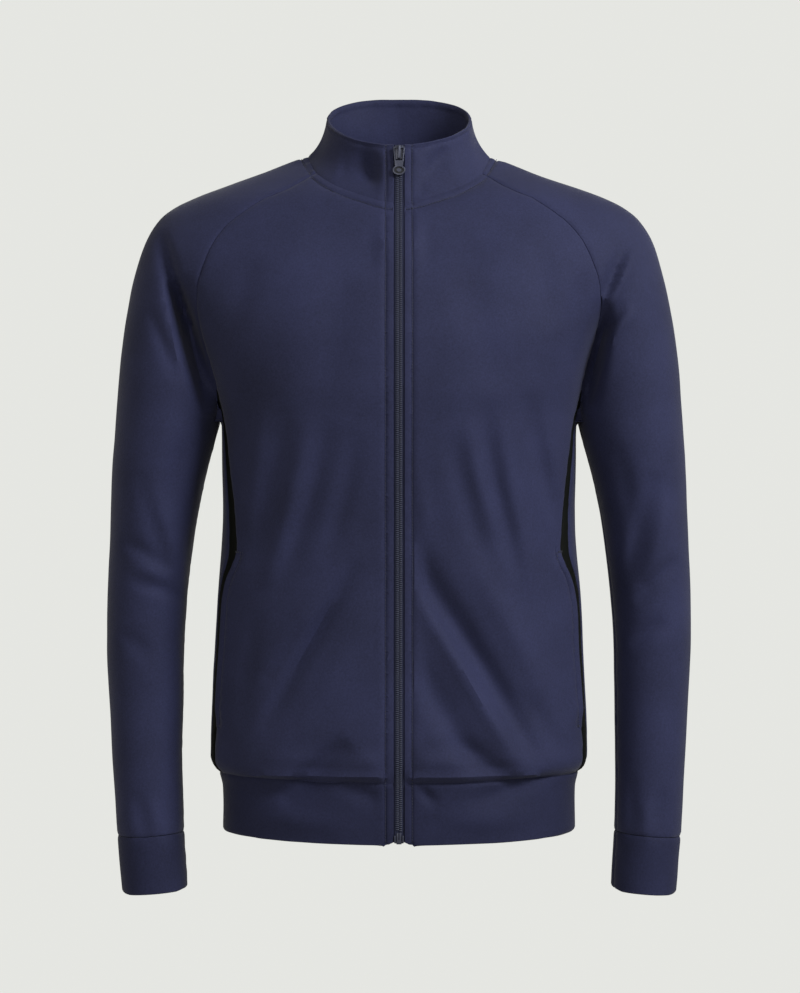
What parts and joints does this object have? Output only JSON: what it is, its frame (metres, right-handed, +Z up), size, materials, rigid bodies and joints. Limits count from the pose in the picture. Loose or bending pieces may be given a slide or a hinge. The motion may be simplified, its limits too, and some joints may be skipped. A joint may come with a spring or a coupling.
{
  "type": "track jacket",
  "caption": "Zip-front raglan track jacket with a stand collar, folded cuffs and hem band, and dark side panels, filled out as if worn.",
  "frame": {"origin": "middle of the neckline, level with the two points where the neck meets the shoulders", "axes": "+Z up along the wearer's back, -Y towards the front of the jacket, +X towards the wearer's left"},
  "size_m": [0.5838, 0.249, 0.799],
  "materials": {
    "knit": "matt navy double-knit",
    "band_knit": "matt navy double-knit, folded double",
    "side_knit": "matt black double-knit",
    "tape": "woven navy zip tape",
    "coil": "navy nylon coil",
    "zip_metal": "satin navy-grey paint"
  },
  "bodies": {
    "jacket": {"front_left": "knit", "side_panel_left": "side_knit", "sleeve_left": "knit", "cuff_left": "band_knit", "zip_tape_left": "tape", "zip_stop_left": "zip_metal", "front_right": "knit", "side_panel_right": "side_knit", "sleeve_right": "knit", "cuff_right": "band_knit", "zip_tape_right": "tape", "zip_stop_right": "zip_metal", "back": "knit", "hem_band": "band_knit", "collar": "knit", "zip_chain": "coil", "zip_slider": "zip_metal", "zip_box": "zip_metal"},
    "pull_tab": {"zip_pull": "zip_metal"}
  },
  "joints": [
    {"name": "pull_tab_hinge", "type": "hinge", "parent": "jacket", "child": "pull_tab", "pos_m": [0, -0.06877, 0.00117], "axis": [-1, 0, 0], "range_deg": [0, 160]}
  ]
}
